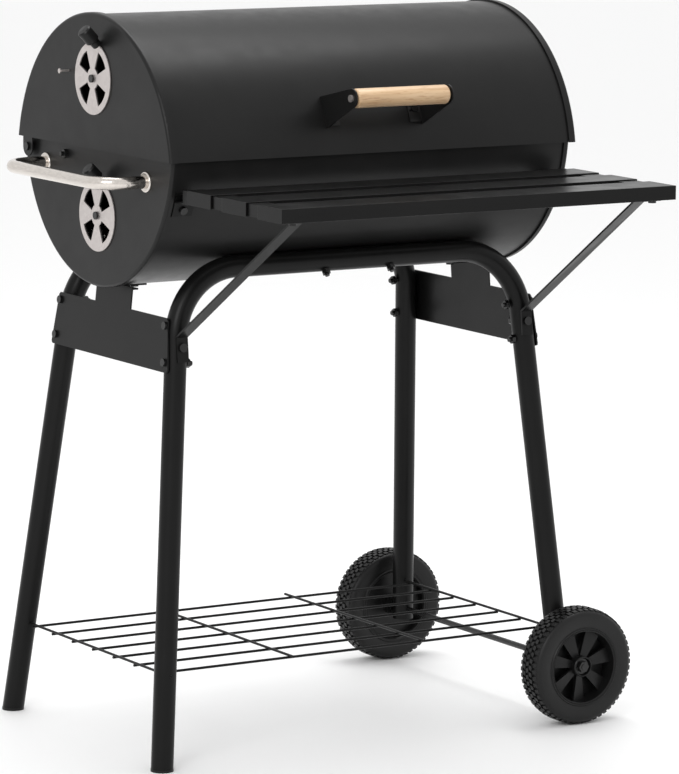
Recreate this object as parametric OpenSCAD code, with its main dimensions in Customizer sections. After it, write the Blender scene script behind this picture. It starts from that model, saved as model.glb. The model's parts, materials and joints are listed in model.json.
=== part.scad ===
// Barrel charcoal grill on a two-wheeled trolley frame.
// +X runs from the vent end to the wheel end, -Y is the front with the
// slatted shelf, +Z is up and the floor is Z = 0.

/* [Lid] */
// Outer radius of the lid's end caps
lid_r = 199; // [180:1:215]
// Height of the lid's arc centre above the floor
lid_z = 720.5; // [715:0.5:735]
// Length of the lid over its end caps
lid_len = 596; // [560:1:620]
// Height of the seam between lid and bowl
split_z = 750; // [745:1:752]
// Height of the hinge pivot
hinge_z = 738; // [732:1:740]
// Distance of the hinge pivot behind the barrel's centre
hinge_y = 169.5; // [160:0.5:172]

/* [Bowl] */
// Outer radius of the bowl's end caps
bowl_r = 191; // [175:1:192]
// Height of the bowl's arc centre above the floor
bowl_z = 768; // [760:1:775]
// Length of the bowl over its end caps
bowl_len = 583; // [550:1:585]
// Thickness of the pressed sheet
sheet = 1.5; // [1:0.1:2]
// Thickness of the folded rim round the end caps
rim = 2.4; // [1.5:0.1:3]
// Rounding of the pressed edges of the end caps
press_r = 4; // [2:0.5:6]

/* [Vents] */
// Radius of a vent disc
vent_r = 45; // [35:1:46]
// Height of the upper vent's centre
vent_top_z = 838; // [810:1:845]
// Height of the lower vent's centre
vent_low_z = 667; // [650:1:672]
// Offset of the vents towards the front
vent_off = 4; // [0:1:8]
// Angle of the vent's finger tab from straight up, when the vent is open
tab_lean = 22.5; // [15:0.5:30]

/* [Handles] */
// Diameter of the wooden grip
grip_d = 24; // [20:1:30]
// Length of the wooden grip
grip_len = 135; // [100:1:180]
// Distance of the grip's axis from the lid's arc centre
grip_reach = 265; // [250:1:275]
// Angle of the grip above level, seen from the lid's arc centre
grip_lift = 23; // [15:1:35]
// Diameter of the side handle's tube
pull_d = 16; // [12:1:20]
// Distance between the side handle's legs
pull_span = 257; // [220:1:280]
// Distance of the side handle's bar from the bowl's end cap
pull_reach = 63.5; // [55:0.5:80]
// Height of the side handle
pull_z = 721; // [715:1:728]

/* [Shelf] */
// Height of the front shelf's top
shelf_z = 718.5; // [705:0.5:730]
// Distance of the shelf's back edge in front of the barrel's centre
shelf_y = 212; // [205:1:220]
// Width of a slat
slat_w = 56; // [50:1:60]
// Gap between slats
slat_gap = 26.5; // [20:0.5:30]
// Thickness of a slat
slat_t = 17.5; // [15:0.5:22]
// Length of a slat
slat_len = 567; // [540:1:580]
// Distance of the crossbars from the middle
crossbar_x = 267; // [255:1:269]

/* [Frame] */
// Diameter of the frame tubes
tube_d = 28; // [25:1:32]
// Wall of the frame tubes
tube_wall = 1.5; // [1:0.1:2]
// Distance of the frames' level tubes from the barrel's centre
cradle_y = 127; // [115:1:135]
// Radius of the tube bends, along their centre line
bend_r = 90; // [70:1:95]
// Distance of a foot from the middle, along Y
foot_y = 196; // [180:1:210]
// Distance of a left foot from the middle, along X
foot_x = 305.7; // [290:0.1:315]
// Lean of the left legs, in X for each unit of Z
lean_left = 0.0974; // [0.07:0.0001:0.11]
// Distance of the right legs' centre lines from the middle at floor level
wheel_foot_x = 297; // [285:0.5:305]
// Lean of the right legs, in X for each unit of Z
lean_right = 0.0766; // [0.06:0.0001:0.1]
// Place of the joint between the left and right frame tubes
joint_x = 9; // [0:1:15]
// Distance of the joint bolts from the joint
joint_bolt = 48; // [40:1:55]
// Height of the left side panel's lower edge
panel_z = 484.5; // [470:0.5:495]
// How much lower the right side panel sits
panel_drop = 3; // [0:0.5:5]
// Height of the side panels
panel_h = 67; // [60:1:70]
// Width of the side panels' tab
panel_tab_w = 90; // [70:1:100]

/* [Wheels] */
// Outer diameter of a wheel
wheel_d = 152; // [140:1:160]
// Width of a wheel
wheel_w = 41; // [36:1:44]
// Distance of the wheels' middles from the centre
wheel_y = 226; // [224:0.5:230]
// Diameter of the axle
axle_d = 8; // [7:0.5:10]

/* [Wire parts] */
// Height of the bottom shelf's long wires
rack_z = 114.5; // [110:0.5:130]
// Diameter of the bottom shelf's wires
rack_d = 3.4; // [3:0.1:4]
// Height of the cooking grates' border wires
grill_z = 735; // [734:0.5:737]
// Height of the charcoal grate's long wires
coal_z = 640; // [630:1:650]

/* [Hidden] */
$fn = 96;

// Clearances
gap = 0.3;
run = 0.06;
// Stand-off of a flat head or nut on the barrel's curved inside
seat = 0.13;
far = 2000;
left = -1;
right = 1;
front = -1;
back = 1;

// Barrel
lid_shell_r = lid_r - rim;
bowl_shell_r = bowl_r - rim;
bowl_inner_r = bowl_shell_r - sheet;
bowl_top_z = split_z - 0.5;
lid_flange = 11;
bowl_flange = 8;
hinge_tab_r = 12.2;
hinge_bolt_r = 3;
cap_bolt_y = 77;
cap_bolt_z = 737;
lid_pin_y = 60;
lid_pin_z = 843;
window_in = 13.5;
window_out = 36.5;
window_angle = 43;
vent_screw_r = 2.5;
lip_h = 39;
lip_bend = 45;
tab_t = sheet - 0.2;
lip_half = sqrt(vent_r * vent_r - lip_h * lip_h) - 0.5;
tab_y = lip_h * tan(tab_lean) + 1;
knob_r = 9;

// Lid handle
grip_y = -grip_reach * cos(grip_lift);
grip_z = lid_z + grip_reach * sin(grip_lift);
bracket_x = grip_len / 2 + 1.5;
bracket_t = 2;
foot_top = [-sqrt(lid_shell_r * lid_shell_r - 100 * 100) - 1.5, lid_z + 100];
foot_low = [-sqrt(lid_shell_r * lid_shell_r - 62 * 62) - 1.5, lid_z + 62];

// Side handle
pull_r = pull_d / 2;
pull_bend = 36;
cap_x = bowl_len / 2;

// Shelf
slat_pitch = slat_w + slat_gap;
slat_wall = 1.5;
crossbar_w = 28;
crossbar_h = slat_t - slat_wall - 1;
crossbar_top = shelf_z - slat_wall;
shelf_depth = 3 * slat_w + 2 * slat_gap;
crossbar_back = 197;
crossbar_front = shelf_y + shelf_depth - slat_wall - 1;
brace_w = 16;
brace_t = 2.5;
brace_x = 255.3;
brace_head_x = 247;
brace_bolt_x = 259;
brace_bolt_z = 517;

// Frame
tube_r = tube_d / 2;
bore_r = tube_r - tube_wall;
cradle_z = bowl_z - sqrt(pow(bowl_shell_r + tube_r + 0.2, 2) - cradle_y * cradle_y);
lean_y = (foot_y - cradle_y) / cradle_z;
tilt = atan(lean_y);
plug_t = 3;
bolt_r = 3;
cradle_angle = asin(cradle_y / (bowl_shell_r + tube_r + 0.2));
panel_t = 2;
panel_rows = [12.5, 57.5];
upper_nut_out = 3.3;
bowl_low_z = bowl_z - bowl_shell_r;
tab_bolt_x = 236.5;
tab_top_z = bowl_low_z - 0.2;

// Wheels
wheel_r = wheel_d / 2;
axle_r = axle_d / 2;
axle_x = leg_x(right, wheel_r);
hub_r = 49;
boss_r = 14;
spokes = 7;
leg_end_z = wheel_r - 14;

// Wires
rack_r = rack_d / 2;
rack_y = 160;
rack_pitch = 53.5;
rack_bar_z = rack_z + rack_d - 0.4;
rack_left = leg_x(left, rack_bar_z);
rack_right = leg_x(right, rack_bar_z) - 5;

// Shift that puts the origin below the middle of the whole grill
x_low = -cap_x - pull_reach - pull_r;
x_high = axle_x + wheel_r;
y_low = -shelf_y - shelf_depth;
y_high = wheel_y + wheel_w / 2;
origin = [-(x_low + x_high) / 2, -(y_low + y_high) / 2, 0];

// X of a leg's centre line at height z
function leg_x(side, z) = side == left ? -foot_x + lean_left * z : wheel_foot_x - lean_right * z;
// Height of a side panel's lower edge
function panel_low(side) = side == left ? panel_z : panel_z - panel_drop;
// Y of a leg's centre line at height z
function leg_y(face, z) = face * (foot_y - lean_y * z);
// Point where a line from p touches a circle at c, on the side given by turn
function touch(p, c, r, turn) =
    let(d = c - p, a = atan2(d.y, d.x) + turn * asin(r / norm(d)), l = sqrt(d * d - r * r))
    p + l * [cos(a), sin(a)];

// Turns +Z of the children towards dir and moves them to p
module along(p, dir)
    translate(p)
        rotate([0, acos(dir.z / norm(dir)), atan2(dir.y, dir.x)])
            children();

// Round rod from p to q
module rod(p, q, r)
    along(p, q - p)
        cylinder(h = norm(q - p), r = r);

// Plate in the YZ plane from x0 to x0 + t
module yz_plate(x0, t)
    translate([x0, 0, 0])
        rotate([90, 0, 90])
            linear_extrude(t)
                children();

// Flat bar in the YZ plane, centred on x, from p to q, with its thickness on the left of the way
module flat_bar(x, p, q, w, t)
    let(d = q - p)
        translate([x - w / 2, p.x, p.y])
            rotate([atan2(d.y, d.x), 0, 0])
                cube([w, norm(d), t]);

// Bolt with a domed head; its bearing face is at Z = 0 and its shank runs up
module bolt(len, r = bolt_r, head_r = 5.5, head_h = 3.2) {
    cylinder(h = len, r = r);
    translate([0, 0, -head_h])
        intersection() {
            cylinder(h = head_h, r = head_r);
            translate([0, 0, head_r * 1.25])
                sphere(r = head_r * 1.6);
        }
}

// Hexagon nut that sits from Z = z up
module nut(z, r = bolt_r, h = 5, flats = 10)
    translate([0, 0, z])
        difference() {
            cylinder(h = h, r = flats / sqrt(3), $fn = 6);
            translate([0, 0, -1])
                cylinder(h = h + 2, r = r + 0.05);
        }

// Pressed end cap: the plate's outer face is at Z = 0 and the flange runs up
module pressed_cap(r, flange)
    rotate_extrude()
        difference() {
            union() {
                square([r - press_r, flange]);
                translate([r - press_r, press_r])
                    circle(r = press_r);
                translate([0, press_r])
                    square([r, flange - press_r]);
            }
            translate([-1, press_r])
                square([1 + r - rim, flange]);
            translate([-1, sheet])
                square([1 + r - press_r, flange]);
            translate([r - press_r, press_r])
                circle(r = press_r - rim);
        }

// Keeps what lies above (up = 1) or below (up = -1) height z
module keep(z, up)
    intersection() {
        children();
        translate([0, 0, z + up * far / 2])
            cube(far, center = true);
    }

// Places a pressed cap at the left or right end of the barrel
module end_cap(side, len, r, flange, z)
    translate([side * len / 2, 0, z])
        rotate([0, -side * 90, 0])
            pressed_cap(r, flange);

// The four air windows around a vent's centre
module windows()
    for (a = [45 : 90 : 315])
        rotate(a)
            intersection() {
                difference() {
                    circle(r = window_out);
                    circle(r = window_in);
                }
                polygon([[0, 0],
                    [60, -60 * tan(window_angle / 2)],
                    [60, 60 * tan(window_angle / 2)]]);
            }

// Cuts a vent's windows and its screw hole through the left end cap at height z
module vent_cut(x, z)
    yz_plate(x - 5, 10)
        translate([-vent_off, z]) {
            windows();
            circle(r = vent_screw_r);
        }

// Vent disc with an outward-bent lip and finger tab, its axis along -X through the origin
module vent_disc() {
    yz_plate(-sheet, sheet)
        difference() {
            circle(r = vent_r);
            windows();
            circle(r = vent_screw_r + run);
            translate([-50, lip_h])
                square(100);
        }
    on_lip() {
        rod([0, 0.4 - lip_half, 0], [0, lip_half - 0.4, 0], sheet / 2 + 0.05);
        yz_plate(-sheet / 2, sheet)
            intersection() {
                translate([0, -lip_h])
                    circle(r = vent_r);
                translate([-lip_half, 0])
                    square([2 * lip_half, 50]);
            }
        translate([-tab_t / 2, -tab_y - 5, 1])
            cube([tab_t, 10, 19.5]);
    }
}

// Moves the children onto the lip of a vent, +Z pointing along the bent lip
module on_lip()
    translate([-sheet / 2, 0, lip_h])
        rotate([0, -lip_bend, 0])
            children();

// Finger knob pushed over the vent's tab
module vent_knob()
    on_lip()
        translate([0, -tab_y, 0])
            difference() {
                translate([0, 0, 4.5])
                    rotate_extrude()
                        polygon([[0, 0], [5.8, 0], [6.2, 1], [6.2, 7], [knob_r - 0.6, 9],
                            [knob_r, 10], [knob_r, 26.5], [knob_r - 1.5, 28.5], [0, 29]]);
                translate([-tab_t / 2 - 0.05, -5.05, 0])
                    cube([tab_t + 0.1, 10.1, 20.6]);
            }

module vent_at(x, z)
    translate([x - gap, -vent_off, z])
        children();

// Pivot screw of a vent, seen from the end cap's outer face at x
module vent_screw(x, z)
    translate([x, -vent_off, z])
        rotate([0, 90, 0]) {
            translate([0, 0, -sheet - 2 * gap])
                bolt(13, vent_screw_r, 5, 2.6);
            translate([0, 0, sheet])
                nut(0, vent_screw_r, 4, 8);
        }

// ---------------- Lid ----------------

module lid_shell()
    color("dimgray")
        difference() {
            union() {
                keep(split_z, 1)
                    translate([-lid_len / 2 + press_r, 0, lid_z])
                        rotate([0, 90, 0])
                            difference() {
                                cylinder(h = lid_len - 2 * press_r, r = lid_shell_r);
                                translate([0, 0, -1])
                                    cylinder(h = lid_len, r = lid_shell_r - sheet);
                            }
                translate([-lid_len / 2 + 6, -lid_shell_r + 2.8, split_z])
                    cube([lid_len - 12, 8.5, sheet]);
            }
            bracket_holes();
        }

module lid_cap(side)
    color("gray")
        difference() {
            union() {
                keep(split_z, 1)
                    end_cap(side, lid_len, lid_r, lid_flange, lid_z);
                yz_plate(side * lid_len / 2 - (side == right ? sheet : 0), sheet)
                    translate([hinge_y, hinge_z]) {
                        circle(r = hinge_tab_r);
                        translate([-hinge_tab_r, 0])
                            square([2 * hinge_tab_r, split_z - hinge_z + 2]);
                    }
            }
            yz_plate(side * lid_len / 2 - 5, 10)
                translate([hinge_y, hinge_z])
                    circle(r = hinge_bolt_r + run);
            if (side == left) {
                vent_cut(-lid_len / 2, vent_top_z);
                yz_plate(-lid_len / 2 - 5, 10)
                    translate([lid_pin_y, lid_pin_z])
                        circle(r = 1.5);
            }
        }

// Places the two handle brackets' bolts, with +Z of the children pointing out of the lid
module at_bracket_bolts()
    for (side = [left, right])
        translate([side * (bracket_x - 9), 0, lid_z])
            rotate([90 - bracket_bolt_lift, 0, 0])
                translate([0, 0, lid_shell_r])
                    children();

bracket_bolt_lift = 24;

module bracket_holes()
    at_bracket_bolts()
        translate([0, 0, -8])
            cylinder(h = 20, r = bolt_r - 0.5);

// Handle bracket: a plate beside the grip with a foot that follows the lid
module lid_bracket(side)
    color("dimgray")
        difference() {
            union() {
                yz_plate(side == left ? -bracket_x - bracket_t : bracket_x, bracket_t)
                    difference() {
                        union() {
                            translate([grip_y, grip_z])
                                circle(r = grip_d / 2);
                            polygon([foot_low,
                                touch(foot_low, [grip_y, grip_z], grip_d / 2, 1),
                                [grip_y, grip_z],
                                touch(foot_top, [grip_y, grip_z], grip_d / 2, -1),
                                foot_top,
                                [foot_top.x + 4, foot_top.y - 3],
                                [foot_low.x + 4, foot_low.y + 4]]);
                        }
                        translate([0, lid_z])
                            circle(r = lid_shell_r);
                        translate([grip_y, grip_z])
                            circle(r = 2.5);
                    }
                yz_plate(side == left ? -bracket_x - 0.5 : bracket_x - 17.5, 18)
                    intersection() {
                        translate([0, lid_z])
                            difference() {
                                circle(r = lid_shell_r + bracket_t);
                                circle(r = lid_shell_r);
                            }
                        translate([-far, lid_z + 65])
                            square([far, 33]);
                    }
            }
            bracket_holes();
        }

module lid_grip()
    color("burlywood")
        translate([-grip_len / 2, grip_y, grip_z])
            rotate([0, 90, 0])
                difference() {
                    cylinder(h = grip_len, r = grip_d / 2);
                    for (z = [-1, grip_len - 24])
                        translate([0, 0, z])
                            cylinder(h = 25, r = 2.5);
                }

module lid_grip_screws()
    color("silver")
        for (side = [left, right])
            translate([side * (bracket_x + bracket_t), grip_y, grip_z])
                rotate([0, -side * 90, 0])
                    bolt(22, 2.45, 4.5, 2.4);

module lid_bracket_bolts()
    color("black")
        at_bracket_bolts() {
            translate([0, 0, bracket_t])
                rotate([180, 0, 0])
                    bolt(13, bolt_r - 0.5, 4.6, 2.6);
            translate([0, 0, -sheet - 4.5])
                nut(0, bolt_r - 0.5, 4, 8);
        }

module lid_pin()
    color("silver") {
        translate([-lid_len / 2 - 14, lid_pin_y, lid_pin_z])
            rotate([0, 90, 0]) {
                cylinder(h = 21, r = 1.45);
                cylinder(h = 1.5, r = 3);
            }
    }

module upper_vent_disc()
    color("lightgray")
        vent_at(-lid_len / 2, vent_top_z)
            vent_disc();

module upper_vent_knob()
    color("black")
        vent_at(-lid_len / 2, vent_top_z)
            vent_knob();

module upper_vent_screw()
    color("dimgray")
        vent_screw(-lid_len / 2, vent_top_z);

// ---------------- Bowl ----------------

// Places the four bolts that hold the bowl on the frame tubes
module at_cradle_bolts(faces = [front, back], sides = [left, right])
    for (face = faces, side = sides)
        translate([joint_x + side * joint_bolt, 0, bowl_z])
            rotate([180 + face * cradle_angle, 0, 0])
                translate([0, 0, bowl_inner_r])
                    children();

// Places the bolts under the bowl's ends, +Z pointing up from the panel tabs
module at_tab_bolts()
    for (side = [left, right])
        translate([side * tab_bolt_x, 0, tab_top_z - panel_t])
            children();

module at_shelf_feet()
    for (side = [left, right])
        translate([side * crossbar_x, 0, bowl_z])
            rotate([90 + shelf_foot_drop, 0, 0])
                translate([0, 0, bowl_inner_r])
                    children();

shelf_foot_drop = 24.3;

module bowl_shell()
    color("dimgray")
        difference() {
            keep(bowl_top_z, -1)
                translate([-cap_x + press_r, 0, bowl_z])
                    rotate([0, 90, 0])
                        difference() {
                            cylinder(h = bowl_len - 2 * press_r, r = bowl_shell_r);
                            translate([0, 0, -1])
                                cylinder(h = bowl_len, r = bowl_inner_r);
                        }
            at_cradle_bolts()
                translate([0, 0, -4])
                    cylinder(h = 10, r = bolt_r);
            at_tab_bolts()
                translate([0, 0, -4])
                    cylinder(h = 10, r = bolt_r);
            at_shelf_feet()
                translate([0, 0, -4])
                    cylinder(h = 10, r = bolt_r);
        }

module bowl_cap(side)
    color("gray")
        difference() {
            keep(bowl_top_z, -1)
                end_cap(side, bowl_len, bowl_r, bowl_flange, bowl_z);
            yz_plate(side * cap_x - 5, 10)
                translate([hinge_y, hinge_z])
                    circle(r = hinge_bolt_r);
            if (side == left) {
                vent_cut(-cap_x, vent_low_z);
                yz_plate(-cap_x - 5, 10) {
                    translate([cap_bolt_y, cap_bolt_z])
                        circle(r = bolt_r);
                    for (face = [front, back])
                        translate([face * pull_span / 2, pull_z])
                            circle(r = bolt_r);
                }
            }
        }

module bowl_cap_bolt()
    color("black")
        translate([-cap_x + sheet, cap_bolt_y, cap_bolt_z])
            rotate([0, -90, 0]) {
                bolt(11, bolt_r, 5, 2.5);
                nut(sheet + 0.1);
            }

module hinge_bolts()
    color("dimgray")
        for (side = [left, right])
            translate([side * (lid_len / 2 + gap), hinge_y, hinge_z])
                rotate([0, -side * 90, 0]) {
                    bolt(14.5, hinge_bolt_r, 5.5, 2.6);
                    nut((lid_len - bowl_len) / 2 + gap + sheet + 0.1, hinge_bolt_r);
                }

module hinge_spacers()
    color("dimgray")
        for (side = [left, right])
            translate([side * cap_x, hinge_y, hinge_z])
                rotate([0, side * 90, 0])
                    difference() {
                        cylinder(h = (lid_len - bowl_len) / 2 - sheet - gap, r = 6);
                        translate([0, 0, -1])
                            cylinder(h = 20, r = hinge_bolt_r + 0.05);
                    }

module lower_vent_disc()
    color("lightgray")
        vent_at(-cap_x, vent_low_z)
            vent_disc();

module lower_vent_knob()
    color("black")
        vent_at(-cap_x, vent_low_z)
            vent_knob();

module lower_vent_screw()
    color("dimgray")
        vent_screw(-cap_x, vent_low_z);

// Half of the side handle, from the middle of its bar to one leg
module pull_half(r, more)
    translate([-cap_x - pull_reach, 0, pull_z]) {
        translate([0, -pull_span / 2 + pull_bend, 0])
            rotate([-90, 0, 0])
                cylinder(h = pull_span / 2 - pull_bend, r = r);
        translate([pull_bend, -pull_span / 2 + pull_bend, 0])
            rotate([0, 0, 180])
                rotate_extrude(angle = 90)
                    translate([pull_bend, 0])
                        circle(r = r);
        translate([pull_bend, -pull_span / 2, 0])
            rotate([0, 90, 0])
                cylinder(h = pull_reach - pull_bend + more, r = r);
    }

module pull_path(r, more)
    for (flip = [0, 1])
        mirror([0, flip, 0])
            pull_half(r, more);

module side_handle()
    color("silver")
        difference() {
            pull_path(pull_r, -1.5);
            pull_path(pull_r - 1.5, 1);
        }

module side_handle_flanges()
    color("silver")
        for (face = [front, back])
            translate([-cap_x, face * pull_span / 2, pull_z])
                rotate([0, -90, 0])
                    difference() {
                        union() {
                            rotate_extrude()
                                difference() {
                                    union() {
                                        square([11, 4.5]);
                                        square([13, 2.5]);
                                        translate([11, 2.5])
                                            circle(r = 2);
                                    }
                                    translate([-20, 1.5])
                                        square([20 + pull_r + 0.05, 10]);
                                }
                            cylinder(h = 14, r = pull_r - 1.55);
                        }
                        translate([0, 0, -1])
                            cylinder(h = 13, r = bolt_r + 0.05);
                    }

module side_handle_bolts()
    color("black")
        for (face = [front, back])
            translate([-cap_x + sheet, face * pull_span / 2, pull_z])
                rotate([0, -90, 0])
                    bolt(12, bolt_r, 5, 2.5);

// ---------------- Grates ----------------

module grill_rails()
    color("dimgray")
        for (face = [front, back])
            translate([-cap_x + 12, face * 177 - 6, grill_z - 4.8])
                cube([bowl_len - 24, 12, 2]);

// Cooking grate: four thick long wires below a row of thin cross wires
module cooking_grate(side) {
    long_r = 2.5;
    wire_r = 1.75;
    length = 279;
    count = 22;
    pitch = (length - 4) / (count - 1);
    color("silver")
        translate([side * (3.5 + length / 2), 0, grill_z]) {
            for (y = [-175, -60, 60, 175])
                rod([-length / 2, y, 0], [length / 2, y, 0], long_r);
            for (i = [0 : count - 1])
                rod([2 - length / 2 + i * pitch, -179, 3.4],
                    [2 - length / 2 + i * pitch, 179, 3.4], wire_r);
        }
}

module charcoal_grate() {
    bar_r = 2.5;
    wire_r = 1.75;
    half = sqrt(pow(bowl_inner_r, 2) - pow(bowl_z - coal_z + 8, 2));
    x_end = 280;
    pitch = 16;
    color("silver") {
        for (i = [-8 : 8])
            rod([-x_end, i * pitch * (half - 6) / (8 * pitch), coal_z],
                [x_end, i * pitch * (half - 6) / (8 * pitch), coal_z], wire_r);
        for (x = [-x_end + 12, -x_end / 3, x_end / 3, x_end - 12])
            rod([x, -half + 1, coal_z - 3.8], [x, half - 1, coal_z - 3.8], bar_r);
    }
}

// ---------------- Front shelf ----------------

// Folded channel slat, open below, with notches for the crossbars
module shelf_slat(i) {
    y = -shelf_y - slat_w - i * slat_pitch;
    color("dimgray")
        translate([-slat_len / 2, y, shelf_z - slat_t])
            difference() {
                cube([slat_len, slat_w, slat_t]);
                translate([slat_wall, slat_wall, -1])
                    cube([slat_len - 2 * slat_wall, slat_w - 2 * slat_wall, 1 + slat_t - slat_wall]);
                for (side = [left, right])
                    translate([slat_len / 2 + side * crossbar_x - crossbar_w / 2 - 0.2,
                        i == 2 ? slat_wall + 3 : -1, -1])
                        cube([crossbar_w + 0.4, slat_w + 2, 1 + slat_t - slat_wall]);
            }
}

// Square tube crossbar inside the slats
module shelf_crossbar(side)
    color("dimgray")
        translate([side * crossbar_x - crossbar_w / 2, -crossbar_front, crossbar_top - crossbar_h])
            difference() {
                cube([crossbar_w, crossbar_front - crossbar_back, crossbar_h]);
                translate([slat_wall, -1, slat_wall])
                    cube([crossbar_w - 2 * slat_wall, far, crossbar_h - 2 * slat_wall]);
                for (y = screw_rows)
                    translate([crossbar_w / 2, crossbar_front - y, -1])
                        cylinder(h = crossbar_h + 2, r = 2);
                translate([crossbar_w / 2 + side * (brace_bolt_x - crossbar_x),
                    crossbar_front - brace_bolt_y, -1])
                    cylinder(h = 4, r = 2.5);
            }

screw_rows = [shelf_y + slat_w / 2, shelf_y + slat_pitch + slat_w / 2, shelf_y + 2 * slat_pitch + 14];
brace_bolt_y = shelf_y + 2 * slat_pitch + 40;
brace_top_y = shelf_y + 2 * slat_pitch + 28;
foot_plate_t = 2;
bracket_arm_z = crossbar_top - crossbar_h - foot_plate_t;

// Brackets between the bowl and the crossbars: a foot on the bowl and an arm under the bar
module shelf_brackets()
    color("dimgray")
        for (side = [left, right])
            difference() {
                union() {
                    intersection() {
                        translate([side * crossbar_x - 14, 0, bowl_z])
                            rotate([0, 90, 0])
                                difference() {
                                    cylinder(h = 28, r = bowl_shell_r + foot_plate_t);
                                    translate([0, 0, -1])
                                        cylinder(h = 30, r = bowl_shell_r);
                                }
                        translate([-far / 2, -far, bowl_z - 86])
                            cube([far, far, 28]);
                    }
                    translate([side * crossbar_x - 14, -crossbar_back - 13, bracket_arm_z])
                        cube([28, crossbar_back + 13 - 177, foot_plate_t]);
                }
                at_shelf_feet()
                    translate([0, 0, -4])
                        cylinder(h = 14, r = bolt_r);
            }

module shelf_bracket_bolts()
    color("black")
        at_shelf_feet() {
            translate([0, 0, sheet + foot_plate_t])
                rotate([180, 0, 0])
                    bolt(14, bolt_r - 0.05, 5, 3);
            rotate([180, 0, 0])
                nut(0.1, bolt_r);
        }

module shelf_screws()
    color("black") {
        for (side = [left, right]) {
            for (y = screw_rows)
                translate([side * crossbar_x, -y, crossbar_top - crossbar_h])
                    bolt(crossbar_h - 0.2, 1.95, 4, 2);
            translate([side * brace_bolt_x, -brace_bolt_y, crossbar_top - crossbar_h - brace_t])
                bolt(crossbar_h - 1, 2.45, 5, 2.8);
        }
    }

// Brace: flat bar bent against the leg at its foot, with a plate under the crossbar at its head
module shelf_brace(side) {
    low_z = brace_bolt_z - 18;
    bend_z = brace_bolt_z + 14;
    low = [leg_y(front, low_z) - (tube_r + 0.1) / cos(tilt), low_z];
    bend = [leg_y(front, bend_z) - (tube_r + 0.1) / cos(tilt), bend_z];
    head = [-brace_top_y, crossbar_top - crossbar_h - brace_t];
    skew = atan((brace_x - brace_head_x) / norm(head - bend));
    head_w = 28;
    head_d = 20;
    color("gray")
        difference() {
            union() {
                flat_bar(side * brace_x, low, bend, brace_w, brace_t);
                translate([side * brace_x, bend.x, bend.y])
                    rotate([atan2(head.y - bend.y, head.x - bend.x), 0, 0])
                        rotate([0, 0, side * skew])
                            translate([-brace_w / 2, 0, 0])
                                cube([brace_w, norm(head - bend) + 1.5, brace_t]);
                translate([side * (brace_head_x + 6) - head_w / 2, -brace_top_y + 1 - head_d, head.y])
                    cube([head_w, head_d, brace_t]);
            }
            translate([side * brace_bolt_x, -brace_bolt_y, head.y - 5])
                cylinder(h = 10, r = 2.5);
            at_brace_bolts()
                translate([0, 0, -12])
                    cylinder(h = 24, r = bolt_r);
        }
}

// Places the bolts that hold the braces on the front legs, +Z pointing back into the leg
module at_brace_bolts()
    for (side = [left, right])
        along([side * brace_x, leg_y(front, brace_bolt_z) - (tube_r + 0.1) / cos(tilt), brace_bolt_z],
            [0, cos(tilt), -sin(tilt)])
            children();

module brace_bolts()
    color("black")
        at_brace_bolts() {
            translate([0, 0, -brace_t])
                bolt(brace_t + tube_d + 9, bolt_r - 0.05);
            nut(tube_d + 0.6);
        }

// ---------------- Frame ----------------

// Cross-section of a frame tube
module tube_ring(more = 0)
    difference() {
        circle(r = tube_r + more);
        circle(r = bore_r - more);
    }

// Right-hand frame tube in the plane of its frame, from the joint to below the floor
module tube_path(lean, corner, start) {
    beta = atan(lean * cos(tilt));
    tangent = bend_r * tan((90 - beta) / 2);
    translate([start, 0, 0])
        rotate([90, 0, 90])
            linear_extrude(corner - tangent - start + 0.5)
                tube_ring();
    translate([corner - tangent, 0, -bend_r]) {
        rotate([90, 0, 0])
            rotate([0, 0, beta])
                rotate_extrude(angle = 90 - beta)
                    translate([bend_r, 0])
                        tube_ring(0.04);
        rotate([0, -beta, 0])
            translate([bend_r, 0, -cradle_z - 20])
                linear_extrude(cradle_z + 20.5)
                    tube_ring();
    }
}

module tube_place(side, face)
    translate([0, face * cradle_y, cradle_z])
        rotate([face * tilt, 0, 0])
            rotate([0, 0, side == left ? 180 : 0])
                children();

module frame_tube(side, face) {
    lean = side == left ? lean_left : lean_right;
    corner = abs(leg_x(side, cradle_z));
    start = side * joint_x;
    end_z = side == left ? plug_t : leg_end_z;
    color("dimgray")
        difference() {
            tube_place(side, face)
                tube_path(lean, corner, start);
            translate([0, 0, end_z - far / 2])
                cube(far, center = true);
            at_cradle_bolts([face], [side])
                cylinder(h = 60, r = bolt_r);
            at_panel_bolts([side], [face])
                translate([0, 0, -10])
                    cylinder(h = 60, r = bolt_r);
            if (face == front)
                at_brace_bolts()
                    translate([0, 0, -10])
                        cylinder(h = 60, r = bolt_r);
            if (side == left)
                rod([rack_left, -far, rack_bar_z], [rack_left, far, rack_bar_z], rack_r + 0.1);
            else {
                rod([rack_right, -far, rack_bar_z], [rack_right, far, rack_bar_z], rack_r + 0.1);
                rod([axle_x, -far, wheel_r], [axle_x, far, wheel_r], axle_r + 0.05);
            }
        }
}

module joint_sleeves()
    color("gray")
        difference() {
            for (face = [front, back])
                translate([joint_x - joint_bolt - 16, face * cradle_y, cradle_z])
                    rotate([0, 90, 0])
                        difference() {
                            cylinder(h = 2 * joint_bolt + 32, r = bore_r - 0.05);
                            translate([0, 0, -1])
                                cylinder(h = 2 * joint_bolt + 34, r = bore_r - 1.5);
                        }
            at_cradle_bolts()
                cylinder(h = 60, r = bolt_r);
        }

module cradle_bolts()
    color("black")
        at_cradle_bolts() {
            translate([0, 0, -seat])
                bolt(sheet + tube_d + 9, bolt_r - 0.05, 5.5, 3);
            nut(sheet + tube_d + 0.7);
        }

module foot_plugs()
    color("black")
        for (face = [front, back]) {
            translate([leg_x(left, plug_t / 2), leg_y(face, plug_t / 2), 0])
                cylinder(h = plug_t, r = tube_r + 0.3);
            translate([leg_x(left, 6), leg_y(face, 6), 1])
                cylinder(h = 8, r = bore_r - 1);
        }

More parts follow.
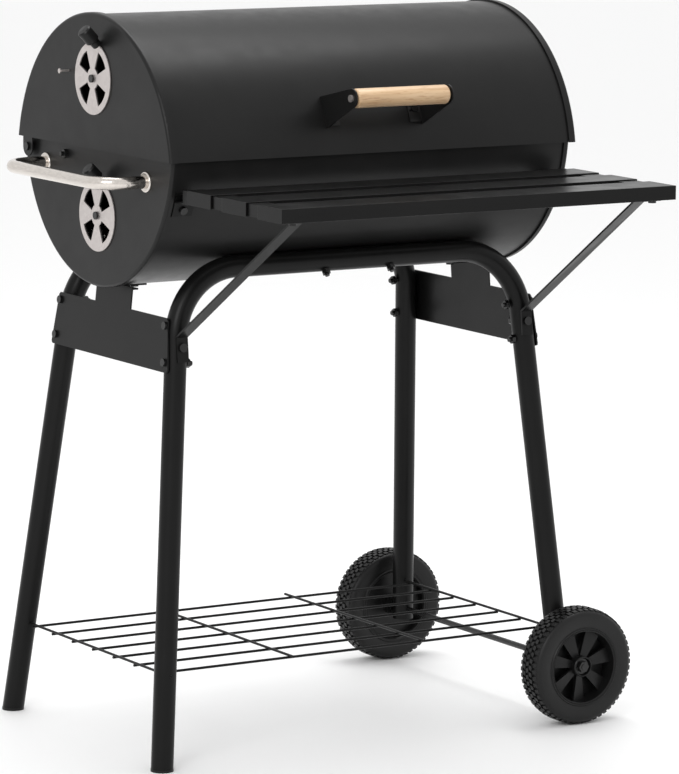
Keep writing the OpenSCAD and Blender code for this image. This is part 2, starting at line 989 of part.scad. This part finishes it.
// Moves the children into a side panel's plane; +Z of the children is up the panel
module in_panel(side) {
    lean = side == left ? lean_left : lean_right;
    low_z = panel_low(side);
    translate([leg_x(side, low_z), 0, low_z])
        rotate([0, -side * atan(lean), 0])
            translate([side * (tube_r + 0.1), 0, 0])
                children();
}

// Places the bolts between panels and legs, +Z pointing inwards from the panel's outer face
module at_panel_bolts(sides = [left, right], faces = [front, back], rows = panel_rows)
    for (side = sides, face = faces, row = rows)
        in_panel(side)
            translate([side * panel_t, leg_y(face, panel_low(side) + row), row])
                rotate([0, -side * 90, 0])
                    children();

// Side panel: a plate across the legs whose middle tab is folded in under the bowl
module side_panel(side) {
    low_z = panel_low(side);
    lean = side == left ? lean_left : lean_right;
    half_low = foot_y - lean_y * low_z + 8;
    half_top = foot_y - lean_y * (low_z + panel_h) + 6;
    plate_top = (tab_top_z - 1 - low_z) / cos(atan(lean));
    fold_x = abs(leg_x(side, bowl_low_z)) + tube_r + 1.2;
    fold_w = 8;
    foot_len = 36;
    foot_w = 30;
    color("dimgray")
        difference() {
            union() {
                in_panel(side)
                    yz_plate(side == left ? -panel_t : 0, panel_t)
                        polygon([[-half_low + 4, 0], [half_low - 4, 0], [half_low - 1, 1], [half_low, 4],
                            [half_top, panel_h - 3], [half_top - 3, panel_h],
                            [panel_tab_w / 2, panel_h], [panel_tab_w / 2, plate_top],
                            [-panel_tab_w / 2, plate_top], [-panel_tab_w / 2, panel_h],
                            [-half_top + 3, panel_h], [-half_top, panel_h - 3],
                            [-half_low, 4], [-half_low + 1, 1]]);
                translate([side * (fold_x - 1) - (side == left ? 0 : foot_len),
                    -foot_w / 2, tab_top_z - panel_t])
                    cube([foot_len, foot_w, panel_t]);
                translate([side * fold_x - (side == left ? 0 : fold_w), -panel_tab_w / 2,
                    tab_top_z - panel_t - 0.7])
                    cube([fold_w, panel_tab_w, panel_t]);
            }
            at_panel_bolts([side])
                translate([0, 0, -4])
                    cylinder(h = 8, r = bolt_r);
            at_tab_bolts()
                translate([0, 0, -4])
                    cylinder(h = 20, r = bolt_r);
        }
}

module panel_bolts()
    color("black")
        for (i = [0, 1])
            at_panel_bolts(rows = [panel_rows[i]]) {
                bolt(panel_t + tube_d + 9 + i * upper_nut_out, bolt_r - 0.05, 5, 3);
                nut(panel_t + tube_d + 0.6 + i * upper_nut_out);
            }

module panel_tab_bolts()
    color("black")
        at_tab_bolts() {
            bolt(13, bolt_r - 0.05, 5, 3);
            nut(panel_t + 0.2 + sheet + seat);
        }

// ---------------- Bottom rack and wheels ----------------

module wire_rack()
    color("black") {
        for (y = [-rack_y, for (i = [-2 : 2]) i * rack_pitch, rack_y])
            rod([rack_left - rack_r, y, rack_z], [rack_right + rack_r, y, rack_z], rack_r);
        for (x = [rack_left, rack_right])
            rod([x, leg_y(front, rack_bar_z) - tube_r - 0.5, rack_bar_z],
                [x, leg_y(back, rack_bar_z) + tube_r + 0.5, rack_bar_z], rack_r);
        for (x = [-103, 93])
            rod([x, -rack_y - 12, rack_bar_z], [x, rack_y + 12, rack_bar_z], rack_r);
    }

module axle()
    color("gray")
        rod([axle_x, -wheel_y - 20, wheel_r], [axle_x, wheel_y + 20, wheel_r], axle_r);

module at_axle_ends()
    for (face = [front, back])
        translate([axle_x, face * wheel_y, wheel_r])
            rotate([-face * 90, 0, 0])
                children();

module axle_washers()
    color("gray")
        at_axle_ends() {
            inner = -(wheel_y - leg_y(back, wheel_r)) + tube_r + 1.3;
            translate([0, 0, inner])
                ring(-17 - gap - inner, 9, axle_r + 0.05);
            translate([0, 0, 12 + gap])
                ring(1.5, 10, axle_r + 0.05);
        }

// Ring of outer radius r and hole radius hole, from Z = 0 up
module ring(h, r, hole)
    difference() {
        cylinder(h = h, r = r);
        translate([0, 0, -1])
            cylinder(h = h + 2, r = hole);
    }

module axle_nuts()
    color("gray")
        at_axle_ends()
            nut(13.9 + gap, axle_r, 5, 13);

// Blow-moulded tyre around the hub, with its axis along Z
module tyre()
    color("black")
        rotate_extrude()
            difference() {
                union() {
                    translate([hub_r, -wheel_w / 2])
                        square([wheel_r - hub_r - 6, wheel_w]);
                    translate([hub_r, -wheel_w / 2 + 6])
                        square([wheel_r - hub_r, wheel_w - 12]);
                    for (y = [-1, 1])
                        translate([wheel_r - 6, y * (wheel_w / 2 - 6)])
                            circle(r = 6);
                }
                translate([hub_r + 4, -wheel_w / 2 + 4])
                    square([wheel_r - hub_r - 10, wheel_w - 8]);
            }

// Hub with a rim, spokes and a centre boss, with its axis along Z
module hub()
    color("black")
        difference() {
            union() {
                translate([0, 0, -wheel_w / 2 + 1])
                    ring(wheel_w - 2, hub_r - 0.05, hub_r - 5);
                translate([0, 0, -17])
                    cylinder(h = 29, r = boss_r);
                translate([0, 0, -8])
                    cylinder(h = 4, r = hub_r - 4);
                translate([0, 0, -5])
                    linear_extrude(11)
                        for (i = [0 : spokes - 1])
                            rotate(i * 360 / spokes)
                                polygon([[boss_r - 2, -5], [hub_r - 4, -8], [hub_r - 4, 8], [boss_r - 2, 5]]);
            }
            translate([0, 0, -40])
                cylinder(h = 80, r = axle_r + run);
        }

module wheel_at(face)
    translate([axle_x, face * wheel_y, wheel_r])
        rotate([-face * 90, 0, 0])
            children();

module from_origin()
    translate(origin)
        children();

from_origin() lid_shell();
from_origin() lid_cap(left);  // lid_cap_left
from_origin() lid_cap(right);  // lid_cap_right
from_origin() lid_bracket(left);  // lid_bracket_left
from_origin() lid_bracket(right);  // lid_bracket_right
from_origin() lid_grip();
from_origin() lid_grip_screws();
from_origin() lid_bracket_bolts();
from_origin() lid_pin();
from_origin() upper_vent_disc();
from_origin() upper_vent_knob();
from_origin() upper_vent_screw();
from_origin() bowl_shell();
from_origin() bowl_cap(left);  // bowl_cap_left
from_origin() bowl_cap(right);  // bowl_cap_right
from_origin() bowl_cap_bolt();
from_origin() hinge_bolts();
from_origin() hinge_spacers();
from_origin() lower_vent_disc();
from_origin() lower_vent_knob();
from_origin() lower_vent_screw();
from_origin() side_handle();
from_origin() side_handle_flanges();
from_origin() side_handle_bolts();
from_origin() grill_rails();
from_origin() cooking_grate(left);  // cooking_grate_left
from_origin() cooking_grate(right);  // cooking_grate_right
from_origin() charcoal_grate();
from_origin() shelf_slat(0);  // shelf_slat_back
from_origin() shelf_slat(1);  // shelf_slat_middle
from_origin() shelf_slat(2);  // shelf_slat_front
from_origin() shelf_crossbar(left);  // shelf_crossbar_left
from_origin() shelf_crossbar(right);  // shelf_crossbar_right
from_origin() shelf_brackets();
from_origin() shelf_brace(left);  // shelf_brace_left
from_origin() shelf_brace(right);  // shelf_brace_right
from_origin() shelf_screws();
from_origin() shelf_bracket_bolts();
from_origin() brace_bolts();
from_origin() frame_tube(left, front);  // frame_tube_front_left
from_origin() frame_tube(right, front);  // frame_tube_front_right
from_origin() frame_tube(left, back);  // frame_tube_back_left
from_origin() frame_tube(right, back);  // frame_tube_back_right
from_origin() joint_sleeves();
from_origin() cradle_bolts();
from_origin() foot_plugs();
from_origin() side_panel(left);  // side_panel_left
from_origin() side_panel(right);  // side_panel_right
from_origin() panel_bolts();
from_origin() panel_tab_bolts();
from_origin() wire_rack();
from_origin() axle();
from_origin() axle_washers();
from_origin() axle_nuts();
from_origin() wheel_at(front) tyre();  // front_wheel_tyre
from_origin() wheel_at(front) hub();  // front_wheel_hub
from_origin() wheel_at(back) tyre();  // back_wheel_tyre
from_origin() wheel_at(back) hub();  // back_wheel_hub
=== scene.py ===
"""Looks of the barrel charcoal grill, in metres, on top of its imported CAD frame."""
import json
import math

import bmesh
import bpy
from mathutils import Matrix, Vector


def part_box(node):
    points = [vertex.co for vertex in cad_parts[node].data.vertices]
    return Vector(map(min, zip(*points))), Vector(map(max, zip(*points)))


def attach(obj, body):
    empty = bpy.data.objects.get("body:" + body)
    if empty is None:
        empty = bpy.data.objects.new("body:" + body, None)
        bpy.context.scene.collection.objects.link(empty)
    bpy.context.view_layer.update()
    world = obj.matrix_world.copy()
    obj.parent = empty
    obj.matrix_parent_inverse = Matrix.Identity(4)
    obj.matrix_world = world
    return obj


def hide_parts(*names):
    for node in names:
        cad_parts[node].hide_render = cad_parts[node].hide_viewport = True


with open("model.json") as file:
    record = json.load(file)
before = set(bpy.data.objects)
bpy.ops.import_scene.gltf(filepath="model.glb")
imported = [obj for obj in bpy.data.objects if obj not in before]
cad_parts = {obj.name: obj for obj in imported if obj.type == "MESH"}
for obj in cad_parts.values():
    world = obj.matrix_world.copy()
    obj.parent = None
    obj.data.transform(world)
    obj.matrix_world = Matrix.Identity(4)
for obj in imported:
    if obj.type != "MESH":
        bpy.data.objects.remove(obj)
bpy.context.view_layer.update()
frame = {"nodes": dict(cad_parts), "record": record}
nodes = frame["nodes"]


# ---------------------------------------------------------------- materials

# The range of a noise's output in which most of its values lie
NOISE_LOW, NOISE_HIGH = 0.3, 0.7
# Orange peel of the powder coat: bumps per metre and their height in metres
PEEL_SCALE, PEEL_DEPTH = 420.0, 0.00001
# Height in metres of the fine marks on bright metal
MARK_DEPTH = 0.00002


class Shader:
    """One node material, with short calls for the nodes it uses."""

    def __init__(self, name):
        self.material = bpy.data.materials.new(name)
        self.material.use_nodes = True
        self.tree = self.material.node_tree
        self.surface = self.tree.nodes["Principled BSDF"]
        self.place = self.node("ShaderNodeTexCoord").outputs["Object"]

    def node(self, kind, **settings):
        made = self.tree.nodes.new(kind)
        for name, value in settings.items():
            setattr(made, name, value)
        return made

    def link(self, source, target):
        self.tree.links.new(source, target)

    def set(self, **values):
        for name, value in values.items():
            self.surface.inputs[name.replace("_", " ")].default_value = value

    def stretched(self, scale):
        """Object coordinates scaled by three numbers."""
        mapping = self.node("ShaderNodeMapping")
        self.link(self.place, mapping.inputs["Vector"])
        mapping.inputs["Scale"].default_value = scale
        return mapping.outputs["Vector"]

    def noise(self, scale, detail=4.0, roughness=0.55, place=None):
        made = self.node("ShaderNodeTexNoise")
        self.link(place or self.place, made.inputs["Vector"])
        made.inputs["Scale"].default_value = scale
        made.inputs["Detail"].default_value = detail
        made.inputs["Roughness"].default_value = roughness
        return made.outputs["Fac"]

    def ramp(self, factor, stops):
        made = self.node("ShaderNodeValToRGB")
        self.link(factor, made.inputs["Fac"])
        points = made.color_ramp.elements
        while len(points) < len(stops):
            points.new(0.5)
        for point, (at, colour) in zip(points, stops):
            point.position = at
            point.color = (*colour, 1.0)
        return made.outputs["Color"]

    def mapped(self, factor, low, high):
        """Spreads a noise's values from low to high."""
        made = self.node("ShaderNodeMapRange")
        self.link(factor, made.inputs["Value"])
        made.inputs["From Min"].default_value = NOISE_LOW
        made.inputs["From Max"].default_value = NOISE_HIGH
        made.inputs["To Min"].default_value = low
        made.inputs["To Max"].default_value = high
        return made.outputs["Result"]

    def bump(self, height, depth, strength):
        """Surface normal over bumps that are depth metres high."""
        made = self.node("ShaderNodeBump")
        made.inputs["Distance"].default_value = depth
        made.inputs["Strength"].default_value = strength
        self.link(height, made.inputs["Height"])
        return made.outputs["Normal"]


def grey(level, warm=0.0):
    """A grey colour, a little redder where warm is above 0."""
    return (level * (1 + warm), level, level * (1 - warm))


def powder_coat(name, level, gloss, specular):
    """Satin black powder coat: slight orange peel, faint dust and cloudy gloss."""
    s = Shader(name)
    s.set(Specular_IOR_Level=specular)
    cloud = s.noise(9.0, 5.0)
    tones = [(NOISE_LOW, grey(level * 0.86)), (NOISE_HIGH, grey(level * 1.16, 0.01))]
    s.link(s.ramp(cloud, tones), s.surface.inputs["Base Color"])
    s.link(s.mapped(s.noise(35.0, 3.0), gloss - 0.035, gloss + 0.045), s.surface.inputs["Roughness"])
    s.link(s.bump(s.noise(PEEL_SCALE, 0.0), PEEL_DEPTH, 0.1), s.surface.inputs["Normal"])
    return s.material


def metal(name, colour, gloss, brushed=(1.0, 1.0, 1.0)):
    """Bright metal with fine drawn or tumbled marks."""
    s = Shader(name)
    s.set(Metallic=1.0)
    marks = s.noise(420.0, 6.0, 0.7, s.stretched(brushed))
    dark = tuple(c * 0.82 for c in colour)
    s.link(s.ramp(marks, [(NOISE_LOW, dark), (NOISE_HIGH, colour)]), s.surface.inputs["Base Color"])
    s.link(s.mapped(marks, gloss * 0.75, gloss * 1.35), s.surface.inputs["Roughness"])
    s.link(s.bump(marks, MARK_DEPTH, 0.4), s.surface.inputs["Normal"])
    return s.material


def zinc(name):
    """Pale zinc-plated sheet with soft spangle and small rub marks."""
    s = Shader(name)
    s.set(Metallic=0.85)
    spangle = s.node("ShaderNodeTexVoronoi")
    s.link(s.place, spangle.inputs["Vector"])
    spangle.inputs["Scale"].default_value = 210.0
    tones = [(0.1, (0.53, 0.49, 0.475)), (0.9, (0.58, 0.54, 0.522))]
    s.link(s.ramp(spangle.outputs["Color"], tones), s.surface.inputs["Base Color"])
    s.link(s.mapped(s.noise(130.0, 5.0), 0.36, 0.44), s.surface.inputs["Roughness"])
    s.link(s.bump(s.noise(700.0, 3.0), 0.00003, 0.4), s.surface.inputs["Normal"])
    return s.material


def moulded_plastic(name, level, gloss, specular):
    """Black moulded plastic with a fine spark-eroded grain."""
    s = Shader(name)
    s.set(Specular_IOR_Level=specular)
    tones = [(NOISE_LOW, grey(level * 0.85)), (NOISE_HIGH, grey(level * 1.2))]
    s.link(s.ramp(s.noise(22.0, 4.0), tones), s.surface.inputs["Base Color"])
    s.link(s.mapped(s.noise(60.0, 3.0), gloss - 0.05, gloss + 0.06), s.surface.inputs["Roughness"])
    s.link(s.bump(s.noise(1600.0, 2.0), 0.00008, 0.4), s.surface.inputs["Normal"])
    return s.material


def beech(name):
    """Pale varnished beech: long grain along X with short darker flecks."""
    s = Shader(name)
    rings = s.noise(26.0, 6.0, 0.6, s.stretched((0.35, 6.0, 6.0)))
    flecks = s.noise(500.0, 2.0, 0.5, s.stretched((0.12, 1.0, 1.0)))
    tones = [(0.25, (0.44, 0.27, 0.14)), (0.5, (0.58, 0.39, 0.22)), (0.75, (0.69, 0.5, 0.31))]
    wood = s.ramp(rings, tones)
    fleck = s.ramp(flecks, [(0.56, (1.0, 1.0, 1.0)), (0.68, (0.72, 0.6, 0.5))])
    mix = s.node("ShaderNodeMix", data_type="RGBA", blend_type="MULTIPLY")
    mix.inputs[0].default_value = 0.7
    s.link(wood, mix.inputs[6])
    s.link(fleck, mix.inputs[7])
    s.link(mix.outputs[2], s.surface.inputs["Base Color"])
    s.link(s.mapped(rings, 0.34, 0.46), s.surface.inputs["Roughness"])
    s.link(s.bump(flecks, 0.00006, 0.4), s.surface.inputs["Normal"])
    s.set(Coat_Weight=0.3, Coat_Roughness=0.25)
    return s.material


materials = {
    "enamel": powder_coat("satin_black_barrel", 0.0085, 0.36, 0.19),
    "frame_paint": powder_coat("satin_black_frame", 0.005, 0.31, 0.15),
    "wood_grip": beech("pale_beech"),
    "zinc": zinc("zinc_plate"),
    "polished": metal("polished_handle_steel", (0.68, 0.635, 0.59), 0.17, (1.0, 0.2, 1.0)),
    "wire_chrome": metal("plated_wire", (0.66, 0.65, 0.64), 0.2),
    "dark_fixings": powder_coat("blackened_fixings", 0.006, 0.26, 0.4),
    "sleeve_steel": metal("zinc_sleeve_steel", (0.52, 0.51, 0.5), 0.3),
    "black_plastic": moulded_plastic("black_moulded_plastic", 0.006, 0.36, 0.24),
    "tyre_black": moulded_plastic("black_tyre", 0.006, 0.4, 0.26),
}

for part in frame["record"]["subparts"]:
    shape = nodes[part["node"]]
    shape.data.materials.clear()
    shape.data.materials.append(materials[part["material_slot"]])


# ---------------------------------------------------------------- eased edges

MM = 0.001
# Width in millimetres of each eased edge
EASED = {
    "shelf_slat_back": 0.8, "shelf_slat_middle": 0.8, "shelf_slat_front": 0.8,
    "side_panel_left": 0.5, "side_panel_right": 0.5,
    "lid_bracket_left": 0.5, "lid_bracket_right": 0.5,
    "shelf_brace_left": 0.5, "shelf_brace_right": 0.5,
    "upper_vent_disc": 0.3, "lower_vent_disc": 0.3,
}


def ease_edges():
    """Rounds the sharp edges of some CAD pieces a little, so that they catch the light."""
    for name, width in EASED.items():
        weld = nodes[name].modifiers.new("weld", "WELD")
        weld.merge_threshold = 0.00001
        bevel = nodes[name].modifiers.new("ease", "BEVEL")
        bevel.width = width * MM
        bevel.segments = 2
        bevel.limit_method = "ANGLE"
        bevel.angle_limit = math.radians(50)
        bevel.harden_normals = True


ease_edges()


# ---------------------------------------------------------------- mesh helpers

# Edges that turn by more than this stay sharp
SHARP = math.radians(35)


def new_piece(name, mesh, body, slot, stands_for):
    """Finishes a bmesh as a smooth-shaded piece that rides on a body."""
    bmesh.ops.recalc_face_normals(mesh, faces=mesh.faces)
    for face in mesh.faces:
        face.smooth = True
    for edge in mesh.edges:
        edge.smooth = len(edge.link_faces) != 2 or edge.calc_face_angle(0) < SHARP
    data = bpy.data.meshes.new(name)
    mesh.to_mesh(data)
    mesh.free()
    piece = bpy.data.objects.new(name, data)
    bpy.context.collection.objects.link(piece)
    data.materials.append(materials[slot])
    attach(piece, body)
    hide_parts(*stands_for)


def lathe(mesh, profile, segments):
    """Turns a closed outline of (radius, height) points round Z."""
    rings = []
    for i in range(segments):
        a = 2 * math.pi * i / segments
        rings.append([mesh.verts.new((r * math.cos(a), r * math.sin(a), h)) for r, h in profile])
    count = len(profile)
    for i in range(segments):
        here, there = rings[i], rings[(i + 1) % segments]
        for j in range(count):
            k = (j + 1) % count
            mesh.faces.new((here[j], there[j], there[k], here[k]))


def arc(centre, radius, start, end, steps):
    """Points of an arc in (radius, height), with angles in degrees."""
    turns = [math.radians(start + (end - start) * i / steps) for i in range(steps + 1)]
    return [(centre[0] + radius * math.cos(a), centre[1] + radius * math.sin(a)) for a in turns]


def block(mesh, corners_low, corners_high):
    """Closed prism between two rings of corners."""
    low = [mesh.verts.new(c) for c in corners_low]
    high = [mesh.verts.new(c) for c in corners_high]
    count = len(low)
    mesh.faces.new(low[::-1])
    mesh.faces.new(high)
    for i in range(count):
        j = (i + 1) % count
        mesh.faces.new((low[i], low[j], high[j], high[i]))


# ---------------------------------------------------------------- wheels

# Each wheel and the way its outside faces along Y
WHEELS = {"front": -1, "back": 1}
TYRE_R = 76 * MM
TYRE_HALF = 20.5 * MM
RIM_R = 49 * MM
SHOULDER = 7 * MM
TREAD = 2.6 * MM
TREAD_ROWS = 5
TREAD_BLOCKS = 54
WHEEL_SEGMENTS = 96


def tread_block(mesh, angle, height, pitch, lean):
    """One tread block with leaning sides, lower and cut back in the two outer rows."""
    half_angle = 0.31 * 2 * math.pi / TREAD_BLOCKS
    root = TYRE_R - TREAD - 3 * MM
    outer = abs(height) > TYRE_HALF - 8 * MM
    drop = 0.7 * MM if outer else 0.0
    low, high = [], []
    for across, along in ((-1, -1), (1, -1), (1, 1), (-1, 1)):
        turn = angle + across * half_angle + along * lean
        z = height + along * pitch * 0.38
        top = TYRE_R - drop - (0.9 * MM if outer and along * height > 0 else 0)
        low.append((math.cos(turn) * root, math.sin(turn) * root, z))
        high.append((math.cos(turn) * top, math.sin(turn) * top, z * 0.995))
    block(mesh, low, high)


def tyre_mesh():
    """Tyre turned round Z, with its outside towards +Z and rows of small tread blocks."""
    mesh = bmesh.new()
    r, w = TYRE_R - TREAD, TYRE_HALF
    wall = [(r - 2 * SHOULDER, w), (RIM_R + 6 * MM, w - 0.8 * MM), (RIM_R + 2.5 * MM, w - 1.6 * MM),
            (RIM_R + 1.4 * MM, w - 0.4 * MM), (RIM_R, w - 1.2 * MM)]
    half = arc((r - SHOULDER, w - SHOULDER), SHOULDER, 0, 90, 6) + wall
    outline = half + [(x, -h) for x, h in reversed(half)]
    lathe(mesh, outline, WHEEL_SEGMENTS)
    turn = 2 * math.pi / TREAD_BLOCKS
    pitch = (2 * w - 6 * MM) / TREAD_ROWS
    for row in range(TREAD_ROWS):
        height = -w + 3 * MM + (row + 0.5) * pitch
        shift = 0.5 * (row % 2)
        lean = 0.05 * turn * (1 if row % 2 else -1)
        for i in range(TREAD_BLOCKS):
            tread_block(mesh, turn * (i + shift), height, pitch, lean)
    return mesh


def hub_mesh():
    """Rim ring, web, seven slanted blade spokes and a stepped boss, outside towards +Z."""
    mesh = bmesh.new()
    w = TYRE_HALF
    rim = [(RIM_R, w - 1.5 * MM), (RIM_R - 1.2 * MM, w - 0.6 * MM), (RIM_R - 2.4 * MM, w - 1.5 * MM),
           (RIM_R - 3 * MM, w - 8 * MM), (RIM_R - 3 * MM, -w + 3 * MM), (RIM_R - 1.5 * MM, -w + 1 * MM),
           (RIM_R, -w + 1 * MM)]
    lathe(mesh, rim, WHEEL_SEGMENTS)
    bore, boss = 4.1 * MM, 13.5 * MM
    boss_back, recess, boss_edge, boss_top = -17 * MM, 12 * MM, 16.4 * MM, 17.4 * MM
    collar = [(bore, boss_back), (boss, boss_back), (boss, boss_edge), (boss - 0.8 * MM, boss_top),
              (boss - 1.8 * MM, boss_top), (boss - 2.4 * MM, boss_edge), (boss - 2.6 * MM, recess),
              (bore, recess)]
    lathe(mesh, collar, 64)
    web_in, web_out, web_back, web_front = boss - 2 * MM, RIM_R - 2.5 * MM, -8 * MM, -4.5 * MM
    web = [(web_in, web_back), (web_out, web_back), (web_out, web_front), (web_in, web_front)]
    lathe(mesh, web, WHEEL_SEGMENTS)
    spokes, thick = 7, 5
    inner, outer = boss - 1.5 * MM, RIM_R - 3 * MM
    narrow, wide = 4.4 * MM, 9.6 * MM
    blade = ((inner, -narrow, 9), (outer, -wide, 10), (outer, wide, 6), (inner, narrow, 7.5))
    for i in range(spokes):
        turn = Matrix.Rotation(2 * math.pi * (i + 0.25) / spokes, 3, "Z")
        high = [turn @ Vector((x, y, z * MM)) for x, y, z in blade]
        low = [turn @ Vector((x, y, (z - thick) * MM)) for x, y, z in blade]
        block(mesh, low, high)
    return mesh


def wheels():
    """Detailed tyre and hub for each wheel, standing for the plain CAD ones."""
    for name, side in WHEELS.items():
        low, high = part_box(f"{name}_wheel_tyre")
        centre = (Vector(low) + Vector(high)) / 2
        place = Matrix.Translation(centre) @ Matrix.Rotation(-side * math.pi / 2, 4, "X")
        for part, mesh, slot in (("tyre", tyre_mesh(), "tyre_black"), ("hub", hub_mesh(), "black_plastic")):
            bmesh.ops.transform(mesh, matrix=place, verts=mesh.verts)
            new_piece(f"{name}_{part}_detailed", mesh, f"{name}_wheel", slot, [f"{name}_wheel_{part}"])


wheels()


# ---------------------------------------------------------------- lid grip

def grip():
    """Turned grip with eased ends, standing for the plain CAD rod."""
    low, high = (Vector(c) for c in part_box("lid_grip"))
    centre = (low + high) / 2
    half = (high.x - low.x) / 2
    r = (high.z - low.z) / 2
    ease = 4 * MM
    hole = 2.6 * MM
    end = [(hole, half - 1 * MM), (hole + 1 * MM, half)] + arc((r - ease, half - ease), ease, 90, 0, 8)
    waist = [(r, half * k) for k in (0.75, 0.5, 0.25)]
    outline = end + waist + [(r, 0)]
    outline += [(x, -h) for x, h in reversed(end + waist)]
    mesh = bmesh.new()
    lathe(mesh, outline, 64)
    place = Matrix.Translation(centre) @ Matrix.Rotation(math.pi / 2, 4, "Y")
    bmesh.ops.transform(mesh, matrix=place, verts=mesh.verts)
    new_piece("turned_grip", mesh, "lid", "wood_grip", ["lid_grip"])


grip()


# ---------------------------------------------------------------- stage

def pale_floor():
    """Plain pale floor that reaches well past the view."""
    made = bpy.data.meshes.new("floor")
    size = 14.0
    corners = [(-size, -size, 0), (size, -size, 0), (size, size, 0), (-size, size, 0)]
    made.from_pydata(corners, [], [(0, 1, 2, 3)])
    plane = bpy.data.objects.new("floor", made)
    bpy.context.collection.objects.link(plane)
    s = Shader("pale_floor")
    s.set(Base_Color=(0.94, 0.94, 0.94, 1), Roughness=0.6)
    made.materials.append(s.material)


def softbox(name, place, aim, size, power):
    """White rectangular lamp at place, facing aim."""
    lamp = bpy.data.lights.new(name, "AREA")
    lamp.shape = "RECTANGLE"
    lamp.size, lamp.size_y = size
    lamp.energy = power
    box = bpy.data.objects.new(name, lamp)
    box.location = place
    box.rotation_euler = (Vector(aim) - Vector(place)).to_track_quat("-Z", "Y").to_euler()
    bpy.context.collection.objects.link(box)


def studio():
    """White surroundings with a key lamp at the front left and a top lamp."""
    world = bpy.data.worlds.new("studio")
    world.use_nodes = True
    backdrop = world.node_tree.nodes["Background"]
    backdrop.inputs["Color"].default_value = (1.0, 1.0, 1.0, 1.0)
    backdrop.inputs["Strength"].default_value = 1.0
    bpy.context.scene.world = world
    bpy.context.scene.view_settings.view_transform = "Standard"
    softbox("key", (-2.8, -2.0, 2.4), (0, 0, 0.6), (1.7, 1.7), 38)
    softbox("top", (0.5, 0.5, 3.2), (0, 0, 0.7), (2.0, 1.4), 38)


# Camera: direction and tilt in degrees, lens in millimetres, and in metres its
# distance, the height that it aims at and its shift to the right and down
CAMERA_AZIMUTH, CAMERA_ELEVATION, CAMERA_ROLL = -31.98, 8.85, 0.6
CAMERA_LENS, CAMERA_DISTANCE, AIM_HEIGHT = 211.27, 5.8317, 0.54
SHIFT_RIGHT, SHIFT_DOWN = 0.0568, 0.1099


def camera():
    """Looks at the grill from its front left, as the picture does."""
    angles = (CAMERA_AZIMUTH, CAMERA_ELEVATION, CAMERA_ROLL)
    azimuth, elevation, roll = (math.radians(a) for a in angles)
    ahead = Vector((-math.sin(azimuth) * math.cos(elevation),
                    math.cos(azimuth) * math.cos(elevation),
                    -math.sin(elevation)))
    level = Vector((math.cos(azimuth), math.sin(azimuth), 0))
    upright = level.cross(ahead)
    right = level * math.cos(roll) + upright * math.sin(roll)
    up = upright * math.cos(roll) - level * math.sin(roll)
    low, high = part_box("bowl_shell")
    aim = Vector(((low[0] + high[0]) / 2, (low[1] + high[1]) / 2, AIM_HEIGHT))
    place = aim + right * SHIFT_RIGHT - up * SHIFT_DOWN - ahead * CAMERA_DISTANCE
    data = bpy.data.cameras.new("camera")
    data.sensor_width = 36
    data.lens = CAMERA_LENS
    made = bpy.data.objects.new("camera", data)
    turn = Matrix((right, up, -ahead)).transposed().to_4x4()
    made.matrix_world = Matrix.Translation(place) @ turn
    bpy.context.collection.objects.link(made)
    bpy.context.scene.camera = made


pale_floor()
studio()
camera()
